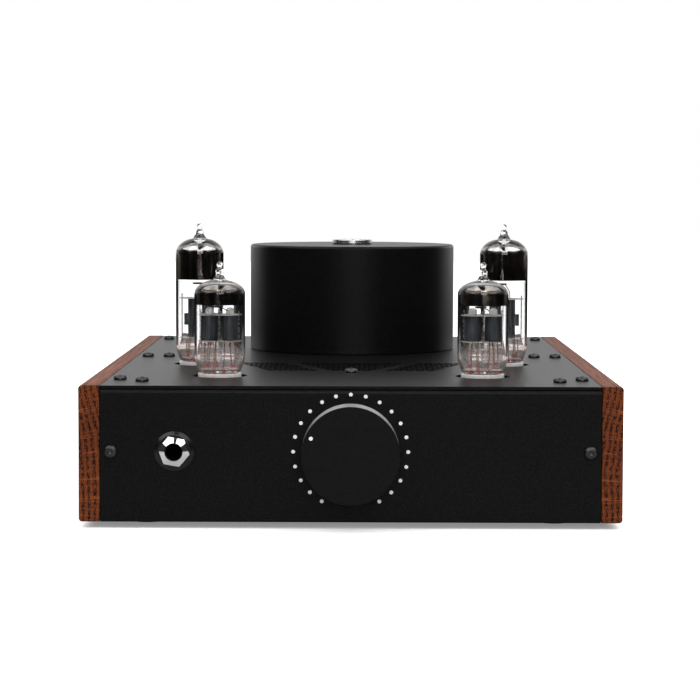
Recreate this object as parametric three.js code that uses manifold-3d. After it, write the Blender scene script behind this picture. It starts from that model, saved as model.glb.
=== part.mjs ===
// A compact valve headphone amplifier: a folded steel case between two oak sides, four noval valves
// and a round transformer cover on its lid, a volume knob and a headphone jack on its front, and
// mains, signal sockets and a power switch on its back.
// Millimetres, +Z up, the front faces -Y. The origin is on the table, under the middle of the part.
import * as THREE from "three";
import { mergeVertices } from "three/addons/utils/BufferGeometryUtils.js";
import Module from "manifold-3d";

const wasm = await Module();
wasm.setup();

// ---------------------------------------------------------------- driving dimensions

const GAP = 0.1; // between flat faces that rest on each other
const SEAT = 0.3; // between round pieces that touch

const CASE = { width: 215, depth: 294, bottom: 2.6, top: 56.6 };
const OAK = { thickness: 8.4, proud: 0.2, corner: 1.5 };
const LID = { thickness: 1.2, setback: 0.8 };
const SHEET = 1.2;
const FRONT = { thickness: 3, top: 55.25 };
const BACK = { thickness: 2 };
const FRAME = { web: 1.5, flange: 9.5, tab: 1.5 };
const FOOT = { radius: 9, x: 82, fromEnd: 24 };

const KNOB_MARK = { radius: 0.9, depth: 0.4, ring: 16.9, angle: -66.2 };
const KNOB = { radius: 19.25, face: 14.6, clearance: 0.8, chamfer: 0.7, z: 30.7 };
const SHAFT = { radius: 3, front: 11, back: 22 };
const BUSHING = { radius: 3.9, bore: 3.25, reach: 3.4 };
const CONTROL = { half: 13, back: 26 };
const CONTROL_NUT = { corner: 6.4, face: 2.6 };
const REAR_REACH = 10.5; // how far the signal sockets stand out of the back panel

const JACK = { x: -69.6, z: 30.8, bore: 3.3, nose: 4.7, noseReach: 2.2, length: 26, width: 15.6, height: 16 };
const JACK_NUT = { corner: 6.36, face: 3.9, back: 1.7, turn: 40 };
const JACK_BEZEL = { radius: 7.95, thickness: 1.4 };

const M3 = { hole: 1.7, shank: 1.45, head: 2.75, headHeight: 1.65, socket: 1.15, length: 6 };
const LID_SCREWS = { x: 94, depths: [30, 153, 269] };
const BOARD_SCREWS = { x: 84.3, depths: [22, 153], middle: 67 };
const FRONT_SCREWS = { x: 94.7, z: 30.6 };

const COVER = { radius: 49.3, height: 50.5, wall: 1.2, corner: 1.6, depth: 211.2 };
const CORE = { radius: 45, bore: 15, height: 43, corner: 5, lift: 1.6 };
const BOLT_HOLE = 2.8;
const DISH = { radius: 9.65, rim: 2.2, floor: 0.9 };
const BOLT = { radius: 2.5, head: 4.75, headHeight: 1.1, socket: 1.6, length: 62 };
const LEAD_HOLE = { radius: 6, x: 28 };

// Heights of a valve are above the lid.
const VALVE = { radius: 10.55, glass: 0.9, lift: 1.5, base: 8.8, flare: 7.2, stem: 2.2 };
const PIN = { radius: 0.51, length: 7, circle: 5.95, count: 9, spread: 36 };
const SHORT_VALVE = { x: 54.6, depth: 49.4, shoulder: 34.9, neck: 40.6, tip: 47.4, getter: 28 };
const TALL_VALVE = { x: 67.2, depth: 111.1, shoulder: 49.5, neck: 56.6, tip: 62.1, getter: 36 };
const SHORT_MICAS = [14.5, 25.7];
const TALL_MICAS = [11.7, 29.2];
const MICA = { radius: 8.7, thickness: 0.6 };
const ANODE = { width: 6, depth: 8.4, apart: 3.6 };
const GETTER = { radius: 3, thickness: 0.5, back: 4, post: 6 };
const VALVE_HOLE = 11.4;
const SOCKET = { radius: 9.05, flange: 10.4, flangeHeight: 3.4, proud: 1.2, height: 10.2, hole: 0.85 };

const VENT = { front: 74.5, rows: 11, lean: 0.37, centre: 8.3, strip: 5.3, outer: 35 };
const CELL = { pitch: 4.53, across: 3.7, least: 0.2 }; // least: the smallest share of a cell that is cut
const BASE_SLOT = { count: 11, pitch: 9, width: 3, front: 70, back: 110 };

const INLET = { x: 62, z: 29.6, width: 31, height: 37, cutWidth: 27.4, cutHeight: 33, depth: 24 };
const INLET_CAVITY = { width: 24.2, height: 16.4, depth: 16, lift: 6 };
const DRAWER = { width: 23.4, height: 9, depth: 20, lift: -10.4 };
const SWITCH = { x: 24, z: 29.6, width: 15, height: 21, cutWidth: 13, cutHeight: 19.2, depth: 13 };
const ROCKER = { width: 9.6, reach: 7.8, edge: 3.4, rest: 10, pivot: 1.2 };
const SIGNAL = { z: 29.6, spacing: 18, inputs: -40, outputs: -76, width: 15, height: 35, collar: 4.15 };

const BOARD = { width: 176, front: 13, back: 162, under: 45.8, thickness: 1.6 };
const SUPPLY = { width: 150, front: 172, back: 258, under: 9.8, thickness: 1.6, inset: 6 };
const SPACER = 3;
const FILTER_CAPACITOR = { radius: 12.5, length: 34, x: 40, depth: 192 };
const OUTPUT_CAPACITOR = { radius: 11, length: 52, x: 46, depth: 76 };

// Sides of a round piece.
const COARSE = 12;
const ROUND = 20;
const FINE = 36;

const FRONT_Y = -(CASE.depth + REAR_REACH - KNOB.face) / 2;
const BACK_Y = FRONT_Y + CASE.depth;
const INNER = CASE.width / 2 - OAK.thickness - 0.2; // half the width between the oak sides
const LID_UNDER = CASE.top - LID.thickness;
const FLOOR_TOP = CASE.bottom + SHEET;

const atDepth = (depth) => FRONT_Y + depth;
const degrees = (angle) => (angle * Math.PI) / 180;

// ---------------------------------------------------------------- finishes

const finish = (color, roughness, metalness) =>
  new THREE.MeshStandardMaterial({ color, roughness, metalness });

const FINISHES = {
  blackPaint: finish(0x1a1a1b, 0.6, 0.2),
  blackKnob: finish(0x1d1d1e, 0.45, 0.6),
  blackScrew: finish(0x161616, 0.35, 0.8),
  oak: finish(0x7a4128, 0.55, 0),
  zinc: finish(0x9a9c9e, 0.4, 0.9),
  chrome: finish(0xd8d8da, 0.12, 1),
  glass: finish(0xe8eef0, 0.05, 0),
  electrode: finish(0x3a3a3c, 0.5, 0.8),
  ceramic: finish(0xe9e8e4, 0.3, 0),
  rubber: finish(0x111111, 0.8, 0),
  blackPlastic: finish(0x131313, 0.5, 0),
  board: finish(0x1f4a30, 0.5, 0),
  copper: finish(0xa7623a, 0.4, 0.9),
  sleeve: finish(0x20242c, 0.4, 0),
  gold: finish(0xc9a24b, 0.25, 1),
};

// ---------------------------------------------------------------- shapes and solids

// A closed geometry as a manifold-3d solid, with the triangles that collapse on an axis left out.
function solidOf(geometry) {
  const bare = geometry.clone();
  bare.deleteAttribute("normal");
  bare.deleteAttribute("uv");
  const merged = mergeVertices(bare, 1e-4);
  const { array } = merged.index;
  const kept = [];
  for (let i = 0; i < array.length; i += 3) {
    const [a, b, c] = array.slice(i, i + 3);
    if (a !== b && b !== c && c !== a) kept.push(a, b, c);
  }
  return new wasm.Manifold(
    new wasm.Mesh({
      numProp: 3,
      vertProperties: new Float32Array(merged.getAttribute("position").array),
      triVerts: new Uint32Array(kept),
    }),
  );
}

function geometryOf(solid) {
  const mesh = solid.getMesh();
  return new THREE.BufferGeometry()
    .setAttribute("position", new THREE.BufferAttribute(new Float32Array(mesh.vertProperties), 3))
    .setIndex(new THREE.BufferAttribute(new Uint32Array(mesh.triVerts), 1));
}

const joined = (...pieces) => geometryOf(pieces.map(solidOf).reduce((whole, piece) => whole.add(piece)));
const cut = (body, ...tools) =>
  geometryOf(tools.map(solidOf).reduce((rest, tool) => rest.subtract(tool), solidOf(body)));

// Ranges of a given width, about zero or about a middle.
const centred = (width) => [-width / 2, width / 2];
const around = (middle, width) => [middle - width / 2, middle + width / 2];

// A box given by its ranges along x, y and z.
function block([x0, x1], [y0, y1], [z0, z1]) {
  const made = new THREE.BoxGeometry(x1 - x0, y1 - y0, z1 - z0);
  return made.translate((x0 + x1) / 2, (y0 + y1) / 2, (z0 + z1) / 2);
}

// Turns a profile of [radius, height] points about the z axis.
function turned(profile, sides = ROUND) {
  const points = profile.map(([radius, height]) => new THREE.Vector2(radius, height));
  return new THREE.LatheGeometry(points, sides).rotateX(Math.PI / 2);
}

// The same, about an axis along y: heights grow towards +y.
const turnedAlongY = (profile, sides = ROUND) => turned(profile, sides).rotateX(-Math.PI / 2);

const rod = (radius, from, to, sides = ROUND) =>
  turned([[0, from], [radius, from], [radius, to], [0, to]], sides);
const rodAlongY = (radius, from, to, sides = ROUND) => rod(radius, from, to, sides).rotateX(-Math.PI / 2);

// A circle's path, for a hole in a shape.
function circle(x, y, radius, sides = COARSE) {
  const corners = Array.from({ length: sides }, (_, i) => {
    const angle = (2 * Math.PI * (i + 0.5)) / sides;
    return new THREE.Vector2(x + radius * Math.cos(angle), y + radius * Math.sin(angle));
  });
  return new THREE.Path(corners);
}

function rectangle([x0, x1], [y0, y1], Kind = THREE.Path) {
  return new Kind([
    new THREE.Vector2(x0, y0),
    new THREE.Vector2(x1, y0),
    new THREE.Vector2(x1, y1),
    new THREE.Vector2(x0, y1),
  ]);
}

function extruded(shape, height) {
  return new THREE.ExtrudeGeometry(shape, { depth: height, bevelEnabled: false, curveSegments: COARSE });
}

// A flat sheet in the xy plane, from height z up.
const sheet = (shape, z, thickness) => extruded(shape, thickness).translate(0, 0, z);

// A wall whose shape is given in x and z, from y back.
const wall = (shape, y, thickness) =>
  extruded(shape, thickness).rotateX(Math.PI / 2).translate(0, y + thickness, 0);

// ---------------------------------------------------------------- assembly

const amplifier = new THREE.Group();

function place(name, geometry, material, parent = amplifier) {
  const mesh = new THREE.Mesh(geometry, material);
  mesh.name = name;
  parent.add(mesh);
  return mesh;
}

const SIDES = [["left", -1], ["right", 1]];

// ---------------------------------------------------------------- case

function screwPlaces() {
  const places = [];
  for (const [side, sign] of SIDES) {
    LID_SCREWS.depths.forEach((depth, i) =>
      places.push({ name: `lid_screw_${side}_${i + 1}`, x: sign * LID_SCREWS.x, depth }));
    BOARD_SCREWS.depths.forEach((depth, i) =>
      places.push({ name: `board_screw_${side}_${i + 1}`, x: sign * BOARD_SCREWS.x, depth }));
  }
  places.push({ name: "board_screw_middle", x: 0, depth: BOARD_SCREWS.middle });
  return places;
}

const boardScrewPlaces = () => screwPlaces().filter(({ name }) => name.startsWith("board"));

function valvePlaces() {
  return SIDES.flatMap(([side, sign]) => [
    { name: `front_${side}`, sign, kind: SHORT_VALVE, micas: SHORT_MICAS },
    { name: `rear_${side}`, sign, kind: TALL_VALVE, micas: TALL_MICAS },
  ]).map((valve) => ({ ...valve, x: valve.sign * valve.kind.x, depth: valve.kind.depth }));
}

// The part of a convex polygon on the inner side of each edge of another, both anticlockwise.
function clipped(polygon, fence) {
  return fence.reduce((rest, [ax, ay], i) => {
    const [bx, by] = fence[(i + 1) % fence.length];
    const inside = ([x, y]) => (bx - ax) * (y - ay) - (by - ay) * (x - ax);
    return rest.flatMap((from, j) => {
      const to = rest[(j + 1) % rest.length];
      const [f, t] = [inside(from), inside(to)];
      const crossing = [0, 1].map((axis) => from[axis] + ((to[axis] - from[axis]) * f) / (f - t));
      if (f >= 0) return t >= 0 ? [from] : [from, crossing];
      return t > 0 ? [crossing] : [];
    });
  }, polygon);
}

const areaOf = (polygon) =>
  polygon.reduce((sum, [x, y], i) => {
    const [nx, ny] = polygon[(i + 1) % polygon.length];
    return sum + (x * ny - nx * y) / 2;
  }, 0);

// The lid's vent: hexagonal holes in a middle field that widens backwards and two that lean beside it.
function ventHoles() {
  const corner = CELL.across / Math.sqrt(3);
  const rowPitch = (CELL.pitch * Math.sqrt(3)) / 2;
  const length = (VENT.rows - 1) * rowPitch + 2 * corner + 0.2;
  const near = VENT.front - 0.1;
  const far = near + length;
  const spread = VENT.lean * length;
  const inner = VENT.centre + VENT.strip;
  const { centre, outer } = VENT;
  const side = [[inner, near], [outer, near], [outer + spread, far], [inner + spread, far]];
  const middle = [[-centre, near], [centre, near], [centre + spread, far], [-centre - spread, far]];
  const mirrored = side.map(([x, y]) => [-x, y]).reverse();
  const whole = (3 * Math.sqrt(3) * corner ** 2) / 2;
  const holes = [];
  for (let row = 0; row < VENT.rows; row++) {
    const depth = VENT.front + corner + row * rowPitch;
    for (let column = -12; column <= 12; column++) {
      const x = (column + (row % 2 ? 0 : 0.5)) * CELL.pitch;
      const hexagon = Array.from({ length: 6 }, (_, i) => [
        x + corner * Math.sin(degrees(-60 * i)),
        depth + corner * Math.cos(degrees(-60 * i)),
      ]);
      for (const field of [middle, side, mirrored]) {
        const hole = clipped(hexagon, field);
        if (hole.length > 2 && areaOf(hole) > whole * CELL.least)
          holes.push(new THREE.Path(hole.map(([px, py]) => new THREE.Vector2(px, atDepth(py)))));
      }
    }
  }
  return holes;
}

function lid() {
  const shape = rectangle([-INNER, INNER], [atDepth(LID.setback), BACK_Y], THREE.Shape);
  shape.holes.push(...screwPlaces().map(({ x, depth }) => circle(x, atDepth(depth), M3.hole, 8)));
  shape.holes.push(...valvePlaces().map(({ x, depth }) => circle(x, atDepth(depth), VALVE_HOLE, FINE)));
  shape.holes.push(circle(0, atDepth(COVER.depth), BOLT_HOLE));
  shape.holes.push(circle(LEAD_HOLE.x, atDepth(COVER.depth), LEAD_HOLE.radius));
  shape.holes.push(...ventHoles());
  return sheet(shape, LID_UNDER, LID.thickness);
}

function baseTray() {
  const inside = [atDepth(FRONT.thickness) + GAP, BACK_Y - BACK.thickness - GAP];
  const tray = block([-INNER, INNER], inside, [CASE.bottom, FLOOR_TOP]);
  const { count, pitch, width, front, back } = BASE_SLOT;
  const slots = Array.from({ length: count }, (_, i) => {
    const x = pitch * (i - (count - 1) / 2);
    return block(around(x, width), [atDepth(front), atDepth(back)], [CASE.bottom - 1, FLOOR_TOP + 1]);
  });
  return cut(tray, ...slots);
}

function frontPanel() {
  const shape = rectangle([-INNER, INNER], [CASE.bottom, FRONT.top], THREE.Shape);
  shape.holes.push(circle(JACK.x, JACK.z, JACK.nose + 0.25, ROUND));
  shape.holes.push(circle(0, KNOB.z, BUSHING.radius + 0.25, ROUND));
  for (const [, sign] of SIDES) shape.holes.push(circle(sign * FRONT_SCREWS.x, FRONT_SCREWS.z, M3.hole, 8));
  return wall(shape, FRONT_Y, FRONT.thickness);
}

function backPanel() {
  const shape = rectangle([-INNER, INNER], [CASE.bottom, LID_UNDER - GAP], THREE.Shape);
  const opening = ({ x, z, cutWidth, cutHeight }) => rectangle(around(x, cutWidth), around(z, cutHeight));
  shape.holes.push(opening(INLET), opening(SWITCH));
  for (const x of [SIGNAL.inputs, SIGNAL.outputs])
    for (const up of [-1, 1])
      shape.holes.push(circle(x, SIGNAL.z + (up * SIGNAL.spacing) / 2, SIGNAL.collar + 1, ROUND));
  return wall(shape, BACK_Y - BACK.thickness, BACK.thickness);
}

// An oak side with its outer edges eased.
function oakSide(sign) {
  const outer = CASE.width / 2;
  const inner = outer - OAK.thickness;
  const top = CASE.top + OAK.proud;
  const c = OAK.corner;
  const slope = c * (1 - Math.SQRT1_2);
  const profile = [
    [inner, CASE.bottom],
    [outer - c, CASE.bottom],
    [outer - slope, CASE.bottom + slope],
    [outer, CASE.bottom + c],
    [outer, top - c],
    [outer - slope, top - slope],
    [outer - c, top],
    [inner, top],
  ].map(([x, z]) => new THREE.Vector2(sign * x, z));
  return wall(new THREE.Shape(profile), FRONT_Y, CASE.depth);
}

// A folded frame inside each oak side. The lid, the base and both end panels are screwed to it.
function sideFrame(sign) {
  const across = (from, to) => [Math.min(sign * from, sign * to), Math.max(sign * from, sign * to)];
  const near = atDepth(FRONT.thickness) + GAP;
  const far = BACK_Y - BACK.thickness - GAP;
  const low = FLOOR_TOP + GAP;
  const high = LID_UNDER - GAP;
  const channel = block(across(INNER - FRAME.flange, INNER), [near, far], [low, high]);
  const hollow = block(
    across(INNER - FRAME.flange - 1, INNER - FRAME.web),
    [near + FRAME.tab, far - FRAME.tab],
    [low + FRAME.web, high - FRAME.web],
  );
  const screws = LID_SCREWS.depths.map((depth) =>
    rod(M3.hole, high - 5, high + 5, 8).translate(sign * LID_SCREWS.x, atDepth(depth), 0));
  const front = rodAlongY(M3.hole, near - 5, near + 5, 8).translate(sign * FRONT_SCREWS.x, 0, FRONT_SCREWS.z);
  return cut(channel, hollow, ...screws, front);
}

function foot() {
  const height = CASE.bottom - GAP;
  return turned([[0, 0], [FOOT.radius - 1, 0], [FOOT.radius, height], [0, height]], ROUND);
}

// A button-head screw with a hexagon socket, standing on z = 0 with its shank below.
function buttonScrew({ head, headHeight, shank, length, socket }) {
  const dome = [[head, 0], [head * 0.93, headHeight * 0.6], [head * 0.62, headHeight]];
  const body = turned([[0, -length], [shank, -length], [shank, 0], ...dome, [0, headHeight]], COARSE);
  return cut(body, rod(socket, headHeight * 0.35, headHeight + 1, 6));
}

function buildCase() {
  place("top_plate", lid(), FINISHES.blackPaint);
  place("base_tray", baseTray(), FINISHES.blackPaint);
  place("front_panel", frontPanel(), FINISHES.blackPaint);
  place("rear_panel", backPanel(), FINISHES.blackPaint);
  for (const [side, sign] of SIDES) {
    place(`${side}_side_panel`, oakSide(sign), FINISHES.oak);
    place(`${side}_side_frame`, sideFrame(sign), FINISHES.zinc);
    const ends = [["front", FOOT.fromEnd], ["rear", CASE.depth - FOOT.fromEnd]];
    for (const [end, depth] of ends)
      place(`foot_${end}_${side}`, foot(), FINISHES.rubber).position.set(sign * FOOT.x, atDepth(depth), 0);
    const screw = place(`front_screw_${side}`, buttonScrew({ ...M3, length: 7 }), FINISHES.blackScrew);
    screw.position.set(sign * FRONT_SCREWS.x, FRONT_Y - GAP, FRONT_SCREWS.z);
    screw.rotation.x = Math.PI / 2;
  }
  for (const { name, x, depth } of screwPlaces())
    place(name, buttonScrew(M3), FINISHES.blackScrew).position.set(x, atDepth(depth), CASE.top + GAP);
}

// ---------------------------------------------------------------- transformer

// Points of a quarter circle from one angle to another, for the rounded corner of a turned profile.
const arc = (radius, height, size, from, to, steps = 2) =>
  Array.from({ length: steps + 1 }, (_, i) => {
    const angle = degrees(from + ((to - from) * i) / steps);
    return [radius + size * Math.cos(angle), height + size * Math.sin(angle)];
  });

function transformerCover() {
  const { radius, height, wall: thick, corner } = COVER;
  return turned([
    [radius - thick, 0],
    [radius, 0],
    ...arc(radius - corner, height - corner, corner, 0, 90),
    [BOLT_HOLE, height],
    [BOLT_HOLE, height - thick],
    ...arc(radius - corner, height - corner, corner - thick, 90, 0),
    [radius - thick, 0],
  ], FINE);
}

function transformerCore() {
  const { radius, bore, height, corner } = CORE;
  return turned([
    ...arc(bore + corner, corner, corner, 180, 270),
    ...arc(radius - corner, corner, corner, 270, 360),
    ...arc(radius - corner, height - corner, corner, 0, 90),
    ...arc(bore + corner, height - corner, corner, 90, 180),
    [bore, corner],
  ], ROUND);
}

// A dished washer: a thin floor round the bolt and a raised rim.
function dishedWasher() {
  const { radius, rim, floor } = DISH;
  return turned([
    [BOLT_HOLE, 0],
    [radius - 0.6, 0],
    [radius, 0.6],
    [radius, rim - 0.5],
    [radius - 0.5, rim],
    [radius - 1.3, rim],
    [radius - 3, floor],
    [BOLT_HOLE, floor],
    [BOLT_HOLE, 0],
  ], ROUND);
}

function buildTransformer() {
  const assembly = new THREE.Group();
  assembly.position.set(0, atDepth(COVER.depth), CASE.top + GAP);
  amplifier.add(assembly);
  const washer = COVER.height + GAP;
  place("transformer_cover", transformerCover(), FINISHES.blackPaint, assembly);
  place("transformer_core", transformerCore(), FINISHES.copper, assembly).position.z = CORE.lift;
  place("transformer_washer", dishedWasher(), FINISHES.zinc, assembly).position.z = washer;
  const bolt = buttonScrew({ ...BOLT, shank: BOLT.radius });
  place("transformer_bolt", bolt, FINISHES.chrome, assembly).position.z = washer + DISH.floor + GAP;
}

// ---------------------------------------------------------------- valves

function valveGlass({ shoulder, neck, tip }) {
  const { radius, glass, base, lift, flare } = VALVE;
  const dome = neck - shoulder;
  return turned([
    [base, lift],
    [radius, flare],
    [radius, shoulder],
    [radius - 0.9, shoulder + dome * 0.45],
    [radius - 4, shoulder + dome * 0.82],
    [2.2, neck],
    [1.8, tip - 3.4],
    [1.2, tip - 0.8],
    [0, tip],
    [0, neck - 1.2],
    [radius - 4.6, shoulder + dome * 0.62],
    [radius - glass, shoulder],
    [radius - glass, flare + 0.2],
    [base - glass, lift],
    [base, lift],
  ], 18);
}

// The nine pins stand on ten even places of a circle, and one place is left free.
const pinAngles = () => Array.from({ length: PIN.count }, (_, i) => degrees(PIN.spread * (i + 3)));

// A piece that stands at an angle on the pins' circle.
const onPinCircle = (piece, angle) =>
  piece.translate(PIN.circle * Math.cos(angle), PIN.circle * Math.sin(angle), 0);

// Everything that the glass holds, on its base: the pins, the support rods, the micas and the anodes.
function valveMount({ getter }, [low, high]) {
  const { lift, base, glass, stem } = VALVE;
  const baseTop = lift + stem;
  const pieces = [rod(base - glass - SEAT, lift, baseTop, 18)];
  for (const angle of pinAngles())
    pieces.push(onPinCircle(rod(PIN.radius, lift - PIN.length, lift + 1, 6), angle));
  for (const angle of [45, 135, 225, 315].map(degrees))
    pieces.push(onPinCircle(rod(PIN.radius, baseTop - 1, low, 4), angle));
  for (const height of [low, high])
    pieces.push(rod(MICA.radius, height - MICA.thickness / 2, height + MICA.thickness / 2, COARSE));
  for (const [, sign] of SIDES)
    pieces.push(block(around(sign * ANODE.apart, ANODE.width), centred(ANODE.depth), [low, high]));
  pieces.push(rod(0.5, high - 1, getter, 4).translate(0, -GETTER.post, 0));
  pieces.push(rod(GETTER.radius, getter - GETTER.thickness, getter, 8).translate(0, -GETTER.back, 0));
  return joined(...pieces);
}

// A ceramic noval socket, with a contact hole for each pin.
function valveSocket() {
  const { radius, flange, flangeHeight, proud, height, hole } = SOCKET;
  const body = turned([
    [0, proud - height],
    [flange, proud - height],
    [flange, proud - height + flangeHeight],
    [radius, proud - height + flangeHeight],
    [radius, proud],
    [0, proud],
  ], ROUND);
  const holes = pinAngles().map((angle) =>
    onPinCircle(rod(hole, VALVE.lift - PIN.length - 0.5, proud + 1, 6), angle));
  return cut(body, ...holes);
}

function buildValves() {
  for (const { name, kind, micas, x, depth } of valvePlaces()) {
    const valve = new THREE.Group();
    valve.position.set(x, atDepth(depth), CASE.top);
    amplifier.add(valve);
    place(`valve_${name}_glass`, valveGlass(kind), FINISHES.glass, valve);
    place(`valve_${name}_mount`, valveMount(kind, micas), FINISHES.electrode, valve);
    place(`valve_${name}_socket`, valveSocket(), FINISHES.ceramic, valve);
  }
}

// ---------------------------------------------------------------- volume control

// Distances are behind the front panel's face, so what stands in front of it is negative.
function volumeKnob() {
  const { radius, face, clearance, chamfer } = KNOB;
  const bore = SHAFT.radius + 0.15;
  const hollow = { radius: 8.5, end: -clearance - 3.4 };
  const body = turnedAlongY([
    [0, -face],
    [radius - chamfer, -face],
    [radius, -face + chamfer],
    [radius, -clearance],
    [hollow.radius, -clearance],
    [hollow.radius, hollow.end],
    [bore, hollow.end],
    [bore, -SHAFT.front - SEAT],
    [0, -SHAFT.front - SEAT],
  ], FINE);
  const mark = rodAlongY(KNOB_MARK.radius, -face - 1, -face + KNOB_MARK.depth, 10);
  mark.translate(0, 0, KNOB_MARK.ring).rotateY(degrees(KNOB_MARK.angle));
  return cut(body, mark);
}

function volumeControl() {
  const { half, back } = CONTROL;
  const box = block([-half, half], [FRONT.thickness + GAP, back], [-half, half]);
  const bushing = rodAlongY(BUSHING.radius, -BUSHING.reach, 10);
  return cut(joined(box, bushing), rodAlongY(BUSHING.bore, -10, SHAFT.back + SEAT));
}

function hexNut(corner, bore, from, to) {
  return cut(rodAlongY(corner, from, to, 6), rodAlongY(bore, from - 1, to + 1));
}

function buildVolume() {
  const group = new THREE.Group();
  group.position.set(0, FRONT_Y, KNOB.z);
  amplifier.add(group);
  place("volume_knob", volumeKnob(), FINISHES.blackKnob, group);
  place("volume_shaft", rodAlongY(SHAFT.radius, -SHAFT.front, SHAFT.back), FINISHES.zinc, group);
  place("volume_control", volumeControl(), FINISHES.zinc, group);
  const nut = hexNut(CONTROL_NUT.corner, BUSHING.radius + SEAT, -CONTROL_NUT.face, -GAP);
  place("volume_nut", nut, FINISHES.zinc, group);
}

// ---------------------------------------------------------------- headphone jack

function jackBody() {
  const body = block(centred(JACK.width), [FRONT.thickness + GAP, JACK.length], centred(JACK.height));
  const nose = rodAlongY(JACK.nose, -JACK.noseReach, 6);
  return cut(joined(body, nose), rodAlongY(JACK.bore, -5, JACK.length - 2));
}

// The nut closes over the nose, down to the plug's way in, which is countersunk.
function jackNut() {
  const { corner, face, back } = JACK_NUT;
  const blank = rodAlongY(corner, -face, -back, 6).rotateY(degrees(JACK_NUT.turn));
  const thread = rodAlongY(JACK.nose + 0.2, -JACK.noseReach - SEAT, 0);
  const [wide, narrow] = [4, 3.45];
  const way = turnedAlongY([
    [0, -face - 1],
    [wide, -face - 1],
    [wide, -face],
    [narrow, -face + 0.6],
    [narrow, 0],
    [0, 0],
  ]);
  return cut(blank, thread, way);
}

function jackBezel() {
  const { radius, thickness } = JACK_BEZEL;
  const bore = JACK.nose + 0.2;
  return turnedAlongY([
    [bore, -thickness],
    [6.6, -thickness],
    [radius, -0.7],
    [radius, -GAP],
    [bore, -GAP],
    [bore, -thickness],
  ]);
}

function buildJack() {
  const group = new THREE.Group();
  group.position.set(JACK.x, FRONT_Y, JACK.z);
  amplifier.add(group);
  place("headphone_jack", jackBody(), FINISHES.blackPlastic, group);
  place("jack_nut", jackNut(), FINISHES.chrome, group);
  place("jack_bezel", jackBezel(), FINISHES.blackPlastic, group);
}

// ---------------------------------------------------------------- back panel

// Pieces on the back panel are drawn about their own centre, with y = 0 on the panel's outer face.
function mainsInlet() {
  const { width, height, cutWidth, cutHeight, depth } = INLET;
  const body = joined(
    block(centred(width), [GAP, 2.5], centred(height)),
    block(centred(cutWidth - 0.4), [-depth, 1], centred(cutHeight - 0.4)),
  );
  const { lift } = INLET_CAVITY;
  const hollow = block(
    centred(INLET_CAVITY.width),
    [2.5 - INLET_CAVITY.depth, 5],
    around(lift, INLET_CAVITY.height),
  );
  const slot = block(
    centred(DRAWER.width + 0.6),
    [0.5 - DRAWER.depth, 5],
    around(DRAWER.lift, DRAWER.height + 0.6),
  );
  const blade = (x, z) => block(around(x, 2), [-INLET_CAVITY.depth, -2.6], around(z, 4));
  const blades = [blade(-7, lift - 2), blade(7, lift - 2), blade(0, lift + 2)];
  return joined(cut(body, hollow, slot), ...blades);
}

function fuseDrawer() {
  const { width, height, depth, lift } = DRAWER;
  const tray = block(centred(width), [1.5 - depth, 1.5], around(lift, height));
  const well = block(centred(width - 4), [5 - depth, -3], [lift - height / 2 + 1.5, lift + height]);
  const grip = block(centred(8), [0.4, 3], around(lift, 3));
  return cut(tray, well, grip);
}

function switchFrame() {
  const { width, height, cutWidth, cutHeight, depth } = SWITCH;
  const body = joined(
    block(centred(width), [GAP, 1.8], centred(height)),
    block(centred(cutWidth - 0.4), [-depth, 1], centred(cutHeight - 0.4)),
  );
  return cut(body, block(centred(ROCKER.width + 0.6), [2 - depth, 4], centred(2 * ROCKER.reach + 1.4)));
}

// The rocker's axis is x. Its two faces meet in a shallow valley, and the one that is pressed in is
// level with the panel.
function switchRocker() {
  const { width, reach, edge, rest } = ROCKER;
  const valley = edge - reach * Math.tan(degrees(rest));
  const profile = [
    [-2.4, reach],
    [edge, reach],
    [valley, 0],
    [edge, -reach],
    [-2.4, -reach],
    [-5.4, -2.5],
    [-5.4, 2.5],
  ].map(([y, z]) => new THREE.Vector2(y, z));
  const made = extruded(new THREE.Shape(profile), width).translate(0, 0, -width / 2);
  return made.rotateY(Math.PI / 2).rotateX(Math.PI / 2).rotateX(degrees(rest));
}

// Two phono sockets, one above the other, on one insulating plate.
function signalSockets() {
  const { spacing, width, height, collar } = SIGNAL;
  const plate = block(centred(width), [GAP, 2.4], centred(height));
  const pieces = [plate];
  const bores = [];
  for (const z of [-spacing / 2, spacing / 2]) {
    pieces.push(rodAlongY(collar, -9, REAR_REACH, 16).translate(0, 0, z));
    bores.push(rodAlongY(1.7, 2, REAR_REACH + 1, 8).translate(0, 0, z));
  }
  return cut(joined(...pieces), ...bores);
}

function buildBack() {
  const at = (x, z) => {
    const group = new THREE.Group();
    group.position.set(x, BACK_Y, z);
    amplifier.add(group);
    return group;
  };
  const inlet = at(INLET.x, INLET.z);
  place("mains_inlet", mainsInlet(), FINISHES.blackPlastic, inlet);
  place("fuse_drawer", fuseDrawer(), FINISHES.blackPlastic, inlet);
  const power = at(SWITCH.x, SWITCH.z);
  place("switch_frame", switchFrame(), FINISHES.blackPlastic, power);
  place("switch_rocker", switchRocker(), FINISHES.blackPlastic, power).position.y = -ROCKER.pivot;
  place("input_sockets", signalSockets(), FINISHES.gold, at(SIGNAL.inputs, SIGNAL.z));
  place("output_sockets", signalSockets(), FINISHES.gold, at(SIGNAL.outputs, SIGNAL.z));
}

// ---------------------------------------------------------------- inside

// The amplifier's board hangs under the lid on threaded spacers that are soldered to it.
function mainBoard() {
  const { width, front, back, under, thickness } = BOARD;
  const top = under + thickness;
  const slab = block(centred(width), [atDepth(front), atDepth(back)], [under, top]);
  const spacers = boardScrewPlaces().map(({ x, depth }) =>
    rod(SPACER, under, LID_UNDER - GAP, 6).translate(x, atDepth(depth), 0));
  const threads = boardScrewPlaces().map(({ x, depth }) =>
    rod(M3.hole, under - 1, LID_UNDER + 1, 8).translate(x, atDepth(depth), 0));
  return cut(joined(slab, ...spacers), ...threads);
}

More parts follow.
